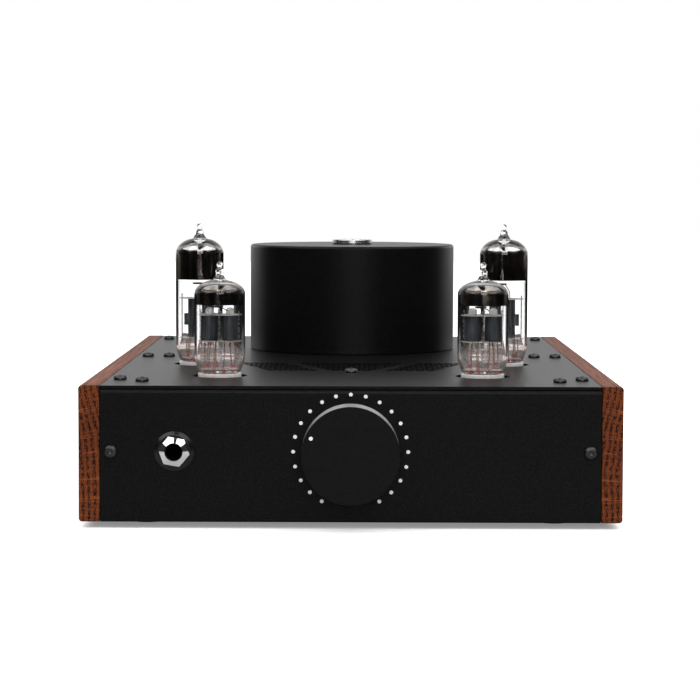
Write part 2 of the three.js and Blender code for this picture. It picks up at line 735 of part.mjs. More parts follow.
function supplyBoard() {
  const { width, front, back, under, thickness, inset } = SUPPLY;
  const slab = block(centred(width), [atDepth(front), atDepth(back)], [under, under + thickness]);
  const legs = SIDES.flatMap(([, sign]) => [front + inset, back - inset].map((depth) => {
    const leg = rod(SPACER, FLOOR_TOP + GAP, under + 0.5, 6);
    return leg.translate(sign * (width / 2 - inset), atDepth(depth), 0);
  }));
  return joined(slab, ...legs);
}

function buildInside() {
  place("main_board", mainBoard(), FINISHES.board);
  place("power_board", supplyBoard(), FINISHES.board);
  const upright = FILTER_CAPACITOR;
  const lying = OUTPUT_CAPACITOR;
  for (const [side, sign] of SIDES) {
    const filter = rod(upright.radius, 0, upright.length);
    filter.translate(sign * upright.x, atDepth(upright.depth), SUPPLY.under + SUPPLY.thickness + GAP);
    place(`filter_capacitor_${side}`, filter, FINISHES.sleeve);
    const output = rodAlongY(lying.radius, 0, lying.length);
    output.translate(sign * lying.x, atDepth(lying.depth), BOARD.under - lying.radius - SEAT);
    place(`output_capacitor_${side}`, output, FINISHES.sleeve);
  }
}

buildCase();
buildTransformer();
buildValves();
buildVolume();
buildJack();
buildBack();
buildInside();

export default amplifier;
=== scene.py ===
"""Looks of a valve headphone amplifier: black powder-coated steel between stained oak sides, four
noval valves and a round transformer cover on the lid, a knob and a headphone jack in front.

Metres, +Z up, the front faces -Y, as in the frame. Profiles and details are given in millimetres
about their own place, and piece() brings them to the frame's metres."""

import math
import random

import bmesh
import bpy
from mathutils import Matrix, Vector


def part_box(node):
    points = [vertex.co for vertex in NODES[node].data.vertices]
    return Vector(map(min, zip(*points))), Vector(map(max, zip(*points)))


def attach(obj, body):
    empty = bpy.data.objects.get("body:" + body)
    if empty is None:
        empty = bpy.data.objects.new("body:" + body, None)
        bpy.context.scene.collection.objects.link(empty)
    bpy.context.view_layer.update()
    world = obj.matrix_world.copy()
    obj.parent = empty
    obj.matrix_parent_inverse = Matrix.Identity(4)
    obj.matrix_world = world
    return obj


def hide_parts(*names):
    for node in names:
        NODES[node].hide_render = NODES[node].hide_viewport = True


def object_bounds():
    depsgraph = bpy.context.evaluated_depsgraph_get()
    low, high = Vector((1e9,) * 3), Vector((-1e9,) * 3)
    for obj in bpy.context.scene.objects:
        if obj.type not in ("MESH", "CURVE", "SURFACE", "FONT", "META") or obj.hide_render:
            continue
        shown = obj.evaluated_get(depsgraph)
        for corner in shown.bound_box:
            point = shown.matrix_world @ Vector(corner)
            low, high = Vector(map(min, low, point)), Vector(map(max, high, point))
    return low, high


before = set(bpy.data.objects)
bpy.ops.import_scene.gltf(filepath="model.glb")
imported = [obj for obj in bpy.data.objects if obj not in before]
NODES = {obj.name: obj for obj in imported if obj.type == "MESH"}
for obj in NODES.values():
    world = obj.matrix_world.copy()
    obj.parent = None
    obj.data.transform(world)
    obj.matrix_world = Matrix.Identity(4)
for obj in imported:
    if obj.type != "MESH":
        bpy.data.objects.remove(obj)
CAD_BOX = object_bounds()

MM = 0.001
TINY = 1e-6
SIDES = (("left", -1), ("right", 1))
LID_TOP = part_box("top_plate")[1].z
FRONT_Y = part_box("front_panel")[0].y
BACK_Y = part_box("rear_panel")[1].y


def middle(node):
    low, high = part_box(node)
    return (low + high) / 2


def size_mm(node):
    low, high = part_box(node)
    return (high - low) / MM


def linked(name, data):
    """A new object in the scene."""
    made = bpy.data.objects.new(name, data)
    bpy.context.scene.collection.objects.link(made)
    return made


# ---------- node trees


class Graph:
    """Short ways to add nodes to a tree."""

    def __init__(self, tree):
        self.nodes = tree.nodes
        self.links = tree.links

    def fill(self, socket, value):
        """Links the socket, or sets it to a plain value."""
        if isinstance(value, bpy.types.NodeSocket):
            self.links.new(value, socket)
        else:
            socket.default_value = value

    def node(self, kind, settings=None, **inputs):
        made = self.nodes.new(kind)
        for name, value in (settings or {}).items():
            setattr(made, name, value)
        for name, value in inputs.items():
            self.fill(made.inputs[name], value)
        return made

    def calculated(self, kind, operation, values):
        made = self.node(kind, {"operation": operation})
        for socket, value in zip(made.inputs, values):
            self.fill(socket, value)
        return made.outputs

    def math(self, operation, *values):
        return self.calculated("ShaderNodeMath", operation, values)[0]

    def vector_math(self, operation, *values):
        return self.calculated("ShaderNodeVectorMath", operation, values)

    def axis(self, letter, vector):
        return self.node("ShaderNodeSeparateXYZ", Vector=vector).outputs[letter]

    def ranged(self, value, low, high, to_low, to_high, interpolation="SMOOTHSTEP"):
        made = self.node("ShaderNodeMapRange", {"interpolation_type": interpolation}, Value=value)
        for name, number in (("From Min", low), ("From Max", high), ("To Min", to_low), ("To Max", to_high)):
            made.inputs[name].default_value = number
        return made.outputs["Result"]

    def seen_directly(self):
        """One where the view reaches a surface itself or through glass, zero for light and reflections."""
        rays = self.nodes.new("ShaderNodeLightPath").outputs
        reached = self.math("MAXIMUM", rays["Is Camera Ray"], rays["Is Transmission Ray"])
        unreflected = self.math("LESS_THAN", rays["Glossy Depth"], 0.5)
        return self.math("MULTIPLY", reached, unreflected)

    def shown_and_reflected(self, shown, reflected):
        """One shader where it is seen directly, another for light and reflections."""
        made = self.node("ShaderNodeMixShader", Fac=self.seen_directly())
        for socket, shader in zip(made.inputs[1:], (reflected, shown)):
            self.links.new(shader.outputs[0], socket)
        return made.outputs[0]


class Finish(Graph):
    """A material whose Principled shader takes plain values here and textures from the methods.

    Texture scales are per metre of the object's own coordinates."""

    def __init__(self, name, color, **values):
        self.material = bpy.data.materials.new(name)
        self.material.use_nodes = True
        super().__init__(self.material.node_tree)
        self.shader = self.nodes["Principled BSDF"]
        self.shader.inputs["Base Color"].default_value = (*color, 1)
        for socket, value in values.items():
            self.shader.inputs[socket.replace("_", " ").title().replace("Ior", "IOR")].default_value = value
        self.place = self.nodes.new("ShaderNodeTexCoord").outputs["Object"]

    def facing(self, letter):
        """How squarely the surface faces along an axis, from 0 to 1."""
        normal = self.nodes.new("ShaderNodeTexCoord").outputs["Normal"]
        return self.math("ABSOLUTE", self.axis(letter, normal))

    def stretched(self, scale):
        """The coordinates, scaled per axis."""
        return self.node("ShaderNodeMapping", Vector=self.place, Scale=scale).outputs["Vector"]

    def noise(self, scale, detail=2.0, vector=None):
        made = self.node("ShaderNodeTexNoise", Vector=vector or self.place, Scale=scale, Detail=detail)
        return made.outputs["Fac"]

    def streaks(self, scale, detail=3):
        """Noise with its own scale per axis."""
        return self.noise(1.0, detail, self.stretched(scale))

    def average(self, first, second):
        return self.math("MULTIPLY", self.math("ADD", first, second), 0.5)

    def ramp(self, value, *stops):
        """A colour that runs between two stops, each a position and a colour."""
        made = self.node("ShaderNodeValToRGB", Fac=value)
        for element, (position, color) in zip(made.color_ramp.elements, stops):
            element.position, element.color = position, (*color, 1)
        return made.outputs["Color"]

    def blended(self, share, first, second):
        """A mix of two colours, each from a socket or as a tuple."""
        made = self.node("ShaderNodeMix", {"data_type": "RGBA"}, Factor=share)
        for socket, value in zip((s for s in made.inputs if s.type == "RGBA"), (first, second)):
            self.fill(socket, (*value, 1) if isinstance(value, tuple) else value)
        return next(s for s in made.outputs if s.type == "RGBA")

    def blended_values(self, share, first, second):
        made = self.node("ShaderNodeMix", {"data_type": "FLOAT"}, Factor=share)
        for socket, value in zip(made.inputs[2:], (first, second)):
            self.fill(socket, value)
        return made.outputs["Result"]

    def drive(self, name, socket):
        self.links.new(socket, self.shader.inputs[name])
        return self

    def color(self, socket):
        return self.drive("Base Color", socket)

    def roughness(self, socket):
        return self.drive("Roughness", socket)

    def bump(self, height, depth_mm, strength):
        made = self.node("ShaderNodeBump", Height=height, Distance=depth_mm * MM, Strength=strength)
        previous = self.shader.inputs["Normal"]
        if previous.is_linked:
            self.links.new(previous.links[0].from_socket, made.inputs["Normal"])
        return self.drive("Normal", made.outputs["Normal"])


# ---------- camera and light

CAMERA_PLACE = (0.0016, -1.0153, 0.1350)
CAMERA_DOWN = 0.0734
CAMERA_YAW = 0.0023
CAMERA_ROLL = 0.0032
CAMERA_LENS = 114.2
CAMERA_NEAR = 0.05

ROOM = 0.03
BEHIND = 1.0
BACKDROP_EDGE = (0.2, 0.85)  # how far back a direction points where the backdrop begins and is full

# The glow is weakest at the object's box: a painted shadow round the object.
PAPER_GLOW_AND_PAINTED_SHADOW = (0.0, 0.035, 0.25, 1.0)  # two distances from the object's box, and the glow at each
PAPER_SHADE = (0.1, 0.45, 0.42, 0.015)  # the same for how light the sheet looks in reflections
FLOOR_HALF = 3.0
WHITE = (1, 1, 1, 1)

OVERHEAD_X = 1.17
OVERHEAD = {"size": (2.0, 2.2), "power": 34}
IN_FRONT = {"place": (0.1, -1.75, 0.62), "aim": (0, 0, 0.05), "size": (0.9, 0.9), "power": 10.5}


def make_camera():
    data = bpy.data.cameras.new("camera")
    data.lens, data.clip_start = CAMERA_LENS, CAMERA_NEAR
    camera = linked("camera", data)
    camera.matrix_world = (
        Matrix.Translation(CAMERA_PLACE)
        @ Matrix.Rotation(CAMERA_YAW, 4, "Z")
        @ Matrix.Rotation(math.pi / 2 - CAMERA_DOWN, 4, "X")
        @ Matrix.Rotation(CAMERA_ROLL, 4, "Z")
    )
    bpy.context.scene.camera = camera


def soft_light(name, place, aim, size, power):
    data = bpy.data.lights.new(name, "AREA")
    data.shape = "RECTANGLE"
    data.size, data.size_y = size
    data.energy = power
    light = linked(name, data)
    light.location = place
    light.rotation_euler = (Vector(aim) - Vector(place)).to_track_quat("-Z", "Y").to_euler()


def make_world():
    """A dark room with a white backdrop straight behind the object."""
    world = bpy.data.worlds.new("studio")
    world.use_nodes = True
    bpy.context.scene.world = world
    made = Graph(world.node_tree)
    made.nodes.clear()
    direction = made.nodes.new("ShaderNodeTexCoord").outputs["Generated"]
    light = made.ranged(made.axis("Y", direction), *BACKDROP_EDGE, ROOM, BEHIND)
    lighting = made.node("ShaderNodeBackground", Color=light)
    backdrop = made.node("ShaderNodeBackground", Color=WHITE)
    made.node("ShaderNodeOutputWorld", Surface=made.shown_and_reflected(backdrop, lighting))


def paper():
    """White paper as far as it is seen. Away from the object it glows, so that it has no edge, and the weaker
    glow close to the object is a painted shadow.

    What the object's surfaces reflect is a sheet that ends in a dark room."""
    made = Finish("paper", (0.95, 0.95, 0.95), Roughness=0.9, Specular_Ior_Level=0.0, Emission_Color=WHITE)
    half = (CAD_BOX[1] - CAD_BOX[0]) / 2
    beyond = made.vector_math("ABSOLUTE", made.place)["Vector"]
    beyond = made.vector_math("SUBTRACT", beyond, (half.x, half.y, 0))["Vector"]
    beyond = made.vector_math("MAXIMUM", beyond, (0, 0, 0))["Vector"]
    distance = made.vector_math("LENGTH", beyond)["Value"]
    # The glow rises with distance from the object's box; where it is low, close by, it is a painted shadow.
    made.drive("Emission Strength", made.ranged(distance, *PAPER_GLOW_AND_PAINTED_SHADOW, "LINEAR"))
    dim = made.node("ShaderNodeBsdfDiffuse", Color=made.ranged(distance, *PAPER_SHADE, "LINEAR"))
    surface = made.shown_and_reflected(made.shader, dim)
    made.links.new(surface, made.nodes["Material Output"].inputs["Surface"])
    return made.material


def make_floor():
    corners = [(u * FLOOR_HALF, v * FLOOR_HALF, 0) for u, v in ((-1, -1), (1, -1), (1, 1), (-1, 1))]
    mesh = bpy.data.meshes.new("floor")
    mesh.from_pydata(corners, [], [(0, 1, 2, 3)])
    mesh.materials.append(paper())
    floor = linked("floor", mesh)


def make_studio():
    """Two soft boxes overhead with a gap between them, and a weak one in front."""
    make_world()
    make_floor()
    for side, sign in SIDES:
        x = sign * OVERHEAD_X
        soft_light(f"overhead_{side}", (x, -0.6, 1.25), (x, -0.5, 0), **OVERHEAD)
    soft_light("in_front", **IN_FRONT)
    bpy.context.scene.view_settings.view_transform = "Standard"


# ---------- materials


def powder_coat():
    """Fine satin texture: grains of about a third of a millimetre over an orange peel of half a millimetre.

    Upright surfaces shine more where they turn away from the view."""
    made = Finish("black_paint", (0.003, 0.003, 0.0031))
    grain = made.noise(2900, detail=3)
    peel = made.noise(2000)
    shade = made.average(grain, peel)
    made.color(made.ramp(shade, (0.35, (0.0010, 0.0010, 0.0010)), (0.7, (0.0045, 0.0045, 0.0047))))
    made.roughness(made.ranged(shade, 0.35, 0.65, 0.3, 0.43))
    upright = made.ranged(made.facing("Z"), 0.6, 0.3, 0, 1)
    away = made.ranged(made.nodes.new("ShaderNodeLayerWeight").outputs["Facing"], 0.42, 0.78, 0, 1)
    level = made.ranged(shade, 0.38, 0.62, 0.08, 0.13)
    level = made.blended_values(made.math("MULTIPLY", upright, away), level, 0.8)
    made.drive("Specular IOR Level", level)
    return made.bump(grain, 0.08, 0.5).bump(peel, 0.05, 0.35).material


def anodised():
    """Black anodised aluminium: a bead-blasted face, and a turned side with fine grooves around y whose
    lighter grey colour is a painted highlight.
    """
    made = Finish("black_anodised", (0.016, 0.016, 0.017), Metallic=0.6, Specular_Ior_Level=0.2)
    grain = made.noise(4200)
    patch = made.noise(1100)
    shade = made.average(grain, patch)
    side = made.ranged(made.facing("Y"), 0.5, 0.25, 0, 1)
    blasted = made.ramp(shade, (0.35, (0.003, 0.003, 0.0032)), (0.7, (0.0085, 0.0085, 0.009)))
    # The side's grey, far lighter than the black face, is a painted highlight of the overhead light; its
    # streaks follow the turning grooves.
    grooves = made.streaks((30, 14000, 30))
    grooves_with_painted_highlight = made.ramp(grooves, (0.35, (0.2, 0.2, 0.202)), (0.65, (0.31, 0.31, 0.312)))
    made.color(made.blended(side, blasted, grooves_with_painted_highlight))
    made.roughness(made.blended_values(side, made.ranged(shade, 0.35, 0.65, 0.4, 0.55), 0.5))
    around = made.node("ShaderNodeTangent", {"direction_type": "RADIAL", "axis": "Y"})
    made.drive("Tangent", around.outputs["Tangent"])
    made.drive("Anisotropic", made.math("MULTIPLY", side, 0.97))
    made.shader.inputs["Anisotropic Rotation"].default_value = 0.25
    return made.bump(grain, 0.02, 0.5).bump(patch, 0.02, 0.3).material


def black_oxide():
    """Black-oxide steel, satin, a little uneven."""
    made = Finish("black_steel", (0.05, 0.05, 0.05), Metallic=1.0)
    wear = made.noise(420)
    made.roughness(made.ranged(wear, 0.3, 0.7, 0.3, 0.4))
    made.color(made.ramp(wear, (0.3, (0.04, 0.04, 0.04)), (0.75, (0.07, 0.069, 0.068))))
    return made.bump(made.noise(3500), 0.004, 0.3).material


RING_WIDTH = 0.0024
PITH = (0.232, 0.016)  # |x| and z of the middle of the trunk that the sides were sawn from
# Scales across the rings, around them and along the fibres.
PORE_ROWS = (1900, 720, 70)
STRAY_PORES = (2900, 1500, 90)
RAYS_AROUND = 290
DARK_LINES_AROUND = 720


def oak():
    """Stained oak, its fibres along y: growth rings with rows of open pores, crossed by pale rays."""
    made = Finish("oak", (0.2, 0.07, 0.03), Specular_Ior_Level=0.11)
    axes = made.node("ShaderNodeSeparateXYZ", Vector=made.place).outputs
    across = made.math("SUBTRACT", PITH[0], made.math("ABSOLUTE", axes["X"]))
    up = made.math("SUBTRACT", axes["Z"], PITH[1])
    squares = made.math("ADD", made.math("MULTIPLY", across, across), made.math("MULTIPLY", up, up))
    waver = made.math("MULTIPLY", made.noise(70, vector=made.stretched((1, 0.1, 1))), 0.0035)
    radius = made.math("ADD", made.math("SQRT", squares), waver)
    along_ring = made.math("MULTIPLY", made.math("DIVIDE", up, across), PITH[0] / 2)

    def in_trunk(scales, detail):
        place = made.node("ShaderNodeCombineXYZ")
        for socket, value, scale in zip(place.inputs, (radius, along_ring, axes["Y"]), scales):
            made.links.new(made.math("MULTIPLY", value, scale), socket)
        return made.noise(1.0, detail, place.outputs["Vector"])

    def lines(around, width):
        """Thin lines that run nearly straight out from the pith."""
        off = made.math("ABSOLUTE", made.math("SUBTRACT", in_trunk((14, around, 7), 1), 0.5))
        return made.math("SUBTRACT", 1.0, made.ranged(off, 0.0, width, 0, 1))

    ring = made.math("FRACT", made.math("DIVIDE", radius, RING_WIDTH))
    off_early = made.math("ABSOLUTE", made.math("SUBTRACT", ring, 0.4))
    early = made.math("SUBTRACT", 1.0, made.ranged(off_early, 0.12, 0.4, 0, 1))
    rows = made.ranged(in_trunk(PORE_ROWS, 2), 0.44, 0.5, 0, 1)
    strays = made.ranged(in_trunk(STRAY_PORES, 2), 0.62, 0.68, 0, 0.8)
    pore = made.math("MAXIMUM", made.math("MULTIPLY", rows, early), strays)

    end_grain = made.facing("Y")
    ray_depth = made.ranged(end_grain, 0.3, 0.7, 0.12, 0.6)
    pore_depth = made.ranged(end_grain, 0.3, 0.7, 0.6, 0.95)
    cloud = made.noise(38, detail=3, vector=made.stretched((1, 0.15, 1)))
    fibre = made.streaks((2600, 34, 2600), 4)
    ground = made.ramp(cloud, (0.25, (0.134, 0.029, 0.0072)), (0.75, (0.225, 0.058, 0.0152)))
    ground = made.blended(made.ranged(fibre, 0.3, 0.75, 0, 0.5), ground, (0.088, 0.018, 0.005))
    dark_lines = made.math("MULTIPLY", lines(DARK_LINES_AROUND, 0.05), 0.4)
    ground = made.blended(dark_lines, ground, (0.062, 0.0125, 0.004))
    pored = made.blended(made.math("MULTIPLY", pore, pore_depth), ground, (0.008, 0.0025, 0.0015))
    rays = made.math("MULTIPLY", lines(RAYS_AROUND, 0.017), ray_depth)
    made.color(made.blended(rays, pored, (0.30, 0.078, 0.022)))
    made.roughness(made.ranged(fibre, 0.2, 0.8, 0.44, 0.6))
    return made.bump(made.math("SUBTRACT", 1.0, pore), 0.14, 0.6).bump(fibre, 0.04, 0.4).material


def bright_metal(slot, color, rough, scratch=(900, 900, 900)):
    """A plated or drawn metal, with fine scratches along the scaled axes."""
    made = Finish(slot, color, Metallic=1.0, Roughness=rough)
    mark = made.streaks(scratch)
    made.roughness(made.ranged(mark, 0.25, 0.75, rough * 0.7, min(1.0, rough * 1.4)))
    made.color(made.ramp(mark, (0.25, [c * 0.86 for c in color]), (0.75, color)))
    return made.bump(mark, 0.01, 0.25).material


def clear_glass():
    """Blown glass, very slightly uneven, and milky where it was pressed around the pins."""
    made = Finish("valve_glass", (0.985, 0.99, 0.99), Roughness=0.0, Transmission_Weight=1.0, IOR=1.48)
    foot = made.ranged(made.axis("Z", made.place), LID_TOP + 0.015, LID_TOP + 0.008, 0, 1)
    cloud = made.ranged(made.noise(260, detail=3), 0.3, 0.7, 0.8, 1.0)
    veil = made.math("MULTIPLY", made.math("MULTIPLY", foot, cloud), 0.12)
    made.drive("Transmission Weight", made.math("SUBTRACT", 1.0, veil))
    made.color(made.blended(foot, (0.985, 0.99, 0.99), (0.96, 0.9, 0.88)))
    return made.bump(made.noise(110, detail=1), 0.03, 0.2).material


def getter_film():
    """The getter's metal on the inside of the glass: a brownish mirror, streaked upright.

    Where it faces up, most of all high on the dome, its colour is painted lighter: a painted highlight of the
    overhead light. Below about 41 mm over the lid only parts facing nearly straight up get it, so the short
    valves' domes stay dark."""
    made = Finish("getter_mirror", (0.05, 0.042, 0.038), Metallic=1.0)
    streak = made.streaks((420, 420, 38))
    painted_highlight_threshold = made.ranged(made.axis("Z", made.place), LID_TOP + 0.041, LID_TOP + 0.043, 0.84, 0.22)
    # crown is one where the film faces up enough: there it takes the painted highlight colour
    crown = made.ranged(made.math("SUBTRACT", made.facing("Z"), painted_highlight_threshold), -0.1, 0.1, 0, 1)
    # side is the film's own brownish mirror colour; top is the lighter painted highlight colour
    side = made.ramp(streak, (0.4, (0.085, 0.075, 0.069)), (0.7, (0.3, 0.25, 0.22)))
    top = made.ramp(streak, (0.4, (0.34, 0.325, 0.315)), (0.7, (0.62, 0.59, 0.57)))
    made.color(made.blended(crown, side, top))
    made.roughness(made.ranged(streak, 0.3, 0.7, 0.05, 0.14))
    return made.bump(streak, 0.1, 0.5).material


def moulded(slot, color, rough, grain_scale, depth_mm, coat=0.0):
    """Moulded plastic, rubber or glazed ceramic, with a fine even grain."""
    made = Finish(slot, color, Roughness=rough, Coat_Weight=coat)
    grain = made.noise(grain_scale)
    made.color(made.ramp(grain, (0.3, [c * 0.85 for c in color]), (0.75, color)))
    made.roughness(made.ranged(grain, 0.3, 0.7, rough * 0.85, min(1.0, rough * 1.2)))
    return made.bump(grain, depth_mm, 0.4).material


def black_moulding():
    """Black plastic, polished where it shows outside the case and matt within."""
    made = Finish("black_plastic", (0.0045, 0.0045, 0.0047))
    grain = made.noise(1900)
    made.color(made.ramp(grain, (0.3, (0.0038, 0.0038, 0.004)), (0.75, (0.0052, 0.0052, 0.0054))))
    off_middle = made.math("SUBTRACT", made.axis("Y", made.place), (FRONT_Y + BACK_Y) / 2)
    half = (BACK_Y - FRONT_Y) / 2
    within = made.ranged(made.math("ABSOLUTE", off_middle), half, half - 0.0015, 0, 1)
    made.roughness(made.blended_values(within, made.ranged(grain, 0.3, 0.7, 0.17, 0.24), 0.8))
    made.drive("Specular IOR Level", made.blended_values(within, 0.35, 0.05))
    return made.bump(grain, 0.012, 0.4).material


def sheet_mica():
    made = Finish("mica", (0.62, 0.57, 0.54), Roughness=0.35, Transmission_Weight=0.35)
    layers = made.streaks((600, 600, 9000), 4)
    made.color(made.ramp(layers, (0.3, (0.45, 0.40, 0.37)), (0.75, (0.78, 0.73, 0.70))))
    return made.bump(layers, 0.02, 0.4).material


def carbonised():
    """Carbonised nickel: blue-grey, satin, with faint drawing lines upright."""
    made = Finish("electrode_metal", (0.06, 0.06, 0.064), Metallic=0.75)
    lines = made.streaks((2600, 2600, 120))
    made.color(made.ramp(lines, (0.3, (0.03, 0.033, 0.038)), (0.75, (0.10, 0.108, 0.12))))
    made.roughness(made.ranged(lines, 0.3, 0.7, 0.3, 0.45))
    return made.bump(lines, 0.02, 0.4).material


def solder_mask():
    """Green lacquer over copper tracks."""
    made = Finish("circuit_board", (0.006, 0.026, 0.016), Roughness=0.4, Specular_Ior_Level=0.3)
    tracks = made.ranged(made.noise(260, detail=0), 0.47, 0.53, 0, 1)
    made.color(made.blended(tracks, (0.0035, 0.014, 0.009), (0.008, 0.034, 0.02)))
    return made.bump(tracks, 0.04, 0.6).material


METALS = (  # colour, roughness and, where it has a direction, the scale of its scratches
    ("zinc_steel", (0.58, 0.6, 0.62), 0.32),
    ("stainless_steel", (0.8, 0.79, 0.78), 0.24, (700, 700, 2500)),
    ("chrome", (0.9, 0.9, 0.9), 0.07),
    ("gold_plate", (0.86, 0.6, 0.22), 0.16),
    ("copper_wire", (0.55, 0.22, 0.11), 0.25),
    ("nickel_wire", (0.62, 0.58, 0.55), 0.25),
    ("copper_winding", (0.6, 0.26, 0.12), 0.3, (300, 300, 2500)),
)
MOULDINGS = (  # colour, roughness, scale of the grain, its depth in millimetres and any clear coat
    ("rubber", (0.016, 0.016, 0.016), 0.75, 1500, 0.05),
    # The ceramic's light grey, darker than its white glaze, is painted shade.
    ("white_ceramic", (0.62, 0.61, 0.59), 0.28, 700, 0.02, 0.3),
    ("red_bead", (0.5, 0.03, 0.012), 0.25, 900, 0.01),
    ("white_print", (0.96, 0.96, 0.96), 0.5, 2500, 0.01),
    ("capacitor_sleeve", (0.012, 0.017, 0.045), 0.3, 500, 0.02),
)
MATERIALS = {
    **{row[0]: bright_metal(*row) for row in METALS},
    **{row[0]: moulded(*row) for row in MOULDINGS},
    "black_paint": powder_coat(),
    "black_anodised": anodised(),
    "black_steel": black_oxide(),
    "black_plastic": black_moulding(),
    "oak": oak(),
    "electrode_metal": carbonised(),
    "mica": sheet_mica(),
    "circuit_board": solder_mask(),
    "valve_glass": clear_glass(),
    "getter_mirror": getter_film(),
}


# ---------- shaping

UP = Matrix.Identity(4)
FORWARD = Matrix.Rotation(math.radians(90), 4, "X")  # the piece's own z points out of the front
BACKWARD = Matrix.Rotation(math.radians(-90), 4, "X")  # the piece's own z points out of the back
CORNER_STEPS = 5
EASE_STEPS = 3
WIRE_SIDES = 8


def rounded(corners, closed=False):
    """Points through corners given as (u, v) or (u, v, radius), where a radius rounds the corner."""
    points = []
    for i, (u, v, *radius) in enumerate(corners):
        if not radius:
            points.append(Vector((u, v)))
            continue
        corner = Vector((u, v))
        back = (Vector(corners[i - 1][:2]) - corner).normalized()
        ahead = (Vector(corners[(i + 1) % len(corners)][:2]) - corner).normalized()
        half = back.angle(ahead) / 2
        centre = corner + (back + ahead).normalized() * radius[0] / math.sin(half)
        start = corner + back * radius[0] / math.tan(half) - centre
        end = corner + ahead * radius[0] / math.tan(half) - centre
        points += [centre + radius[0] * start.slerp(end, k / CORNER_STEPS) for k in range(CORNER_STEPS + 1)]
    return points + points[:1] if closed else points


def on_circle(radius, angle, height):
    return Vector((radius * math.cos(angle), radius * math.sin(angle), height))


def ring_of(reach, height, sides, start=0.0):
    """Points at even angles about z, each as far out as reach(angle) says."""
    turns = [2 * math.pi * (i + start) / sides for i in range(sides)]
    return [on_circle(reach(angle), angle, height) for angle in turns]


def circle_ring(radius, height, sides):
    if radius < TINY:
        return [Vector((0, 0, height))]
    return ring_of(lambda angle: radius, height, sides)


def hexagon_ring(across, height, sides):
    """A hexagon's outline with the points of a circle."""

    def reach(angle):
        off_flat = (angle + math.pi / 6) % (math.pi / 3) - math.pi / 6
        return across / 2 / math.cos(off_flat)

    return ring_of(reach, height, sides)


def box_ring(width, depth, height, sides):
    """A rectangle's outline with the points of a circle."""

    def reach(angle):
        u, v = abs(math.cos(angle)), abs(math.sin(angle))
        return min(width / 2 / max(u, TINY), depth / 2 / max(v, TINY))

    return ring_of(reach, height, sides, start=0.5)


def lofted(rings, closed=False):
    """A skin through rings of points, capped at its ends. A ring of one point is a tip.

    Two tips in a row end one skin and start the next, which then bounds a hollow in the first."""
    bm = bmesh.new()
    made = [[bm.verts.new(p) for p in ring] for ring in rings]
    for low, high in zip(made, made[1:] + made[:1] if closed else made[1:]):
        count = max(len(low), len(high))
        for i in range(count):
            j = (i + 1) % count
            corners = [low[i % len(low)], low[j % len(low)], high[j % len(high)], high[i % len(high)]]
            corners = list(dict.fromkeys(corners))
            if len(corners) > 2:
                bm.faces.new(corners)
    if not closed:
        for end in (made[0][::-1], made[-1]):
            if len(end) > 2:
                bm.faces.new(end)
    if bm.calc_volume(signed=True) < 0:
        bmesh.ops.reverse_faces(bm, faces=bm.faces)
    return bm


def turned(corners, sides=96, closed=False):
    """A profile of (radius, height) corners, turned about z."""
    return lofted([circle_ring(p.x, p.y, sides) for p in rounded(corners)], closed)


def extruded(outline, low, high, ease):
    """A closed outline along z, with its two ends' edges eased."""
    points = outline[:-1] if outline[0] == outline[-1] else outline
    span = [max(p[i] for p in points) - min(p[i] for p in points) for i in (0, 1)]
    mid = [(max(p[i] for p in points) + min(p[i] for p in points)) / 2 for i in (0, 1)]

    def ring(height, inset):
        scale = [1 - 2 * inset / s for s in span]
        return [Vector((*(mid[i] + (p[i] - mid[i]) * scale[i] for i in (0, 1)), height)) for p in points]

    turns = [math.pi / 2 * k / EASE_STEPS for k in range(EASE_STEPS + 1)]
    start = [ring(low + ease * (1 - math.sin(a)), ease * (1 - math.cos(a))) for a in reversed(turns)]
    end = [ring(high - ease * (1 - math.sin(a)), ease * (1 - math.cos(a))) for a in turns]
    return lofted(start + end)


def block(size, centre, ease):
    """A box with eased edges."""
    bm = bmesh.new()
    bmesh.ops.create_cube(bm, size=1)
    bm.transform(Matrix.Translation(centre) @ Matrix.Diagonal((*size, 1)))
    bmesh.ops.bevel(bm, geom=bm.edges[:], offset=ease, segments=3, profile=0.5, affect="EDGES")
    return bm


def smoothed(points, steps=6):
    """A Catmull-Rom curve through the points."""
    points = [Vector(p) for p in points]
    ends = [2 * points[0] - points[1], *points, 2 * points[-1] - points[-2]]
    curve = []
    for a, b, c, d in zip(ends, ends[1:], ends[2:], ends[3:]):
        for k in range(steps):
            t = k / steps
            bend, twist = 2 * a - 5 * b + 4 * c - d, 3 * b - a - 3 * c + d
            curve.append(0.5 * (2 * b + (c - a) * t + bend * t**2 + twist * t**3))
    return [*curve, points[-1]]


def wire(points, radius):
    """A round wire along a path."""
    rings = []
    turns = [2 * math.pi * k / WIRE_SIDES for k in range(WIRE_SIDES)]
    for i, point in enumerate(points):
        ahead = (Vector(points[min(i + 1, len(points) - 1)]) - Vector(points[max(i - 1, 0)])).normalized()
        side = ahead.orthogonal().normalized() if not rings else (side - ahead * side.dot(ahead)).normalized()
        other = ahead.cross(side)
        rings.append([Vector(point) + radius * (math.cos(a) * side + math.sin(a) * other) for a in turns])
    return lofted(rings)


def together(*parts):
    whole = bmesh.new()
    for part in parts:
        mesh = bpy.data.meshes.new("part")
        part.to_mesh(mesh)
        part.free()
        whole.from_mesh(mesh)
        bpy.data.meshes.remove(mesh)
    return whole


def moved(bm, offset=(0, 0, 0), turn=0.0):
    bm.transform(Matrix.Translation(offset) @ Matrix.Rotation(turn, 4, "Z"))
    return bm


